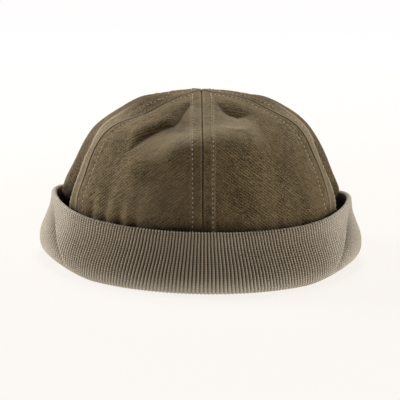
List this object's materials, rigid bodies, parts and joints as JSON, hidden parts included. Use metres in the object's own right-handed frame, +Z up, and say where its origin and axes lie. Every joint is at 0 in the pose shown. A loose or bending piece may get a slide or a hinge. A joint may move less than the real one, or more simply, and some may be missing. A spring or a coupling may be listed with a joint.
{
  "type": "docker cap",
  "caption": "Soft brimless cap: a rounded crown of sewn cloth panels on a turned-up rib-knit cuff, worn on the head or laid on its cuff.",
  "frame": {"origin": "centre of the cap's bounding box, on the surface that its folded cuff rests on", "axes": "+Z up through the crown, the front of the cap faces -Y, +X to the right of someone who looks at the front"},
  "size_m": [0.201, 0.2144, 0.1028],
  "materials": {
    "crown_twill": "matt brushed cotton twill",
    "cuff_knit": "matt rib knit"
  },
  "bodies": {
    "root": {"panel_front_right": "crown_twill", "panel_side_right": "crown_twill", "panel_back_right": "crown_twill", "panel_back_left": "crown_twill", "panel_side_left": "crown_twill", "panel_front_left": "crown_twill", "rib_cuff": "cuff_knit"}
  },
  "joints": []
}
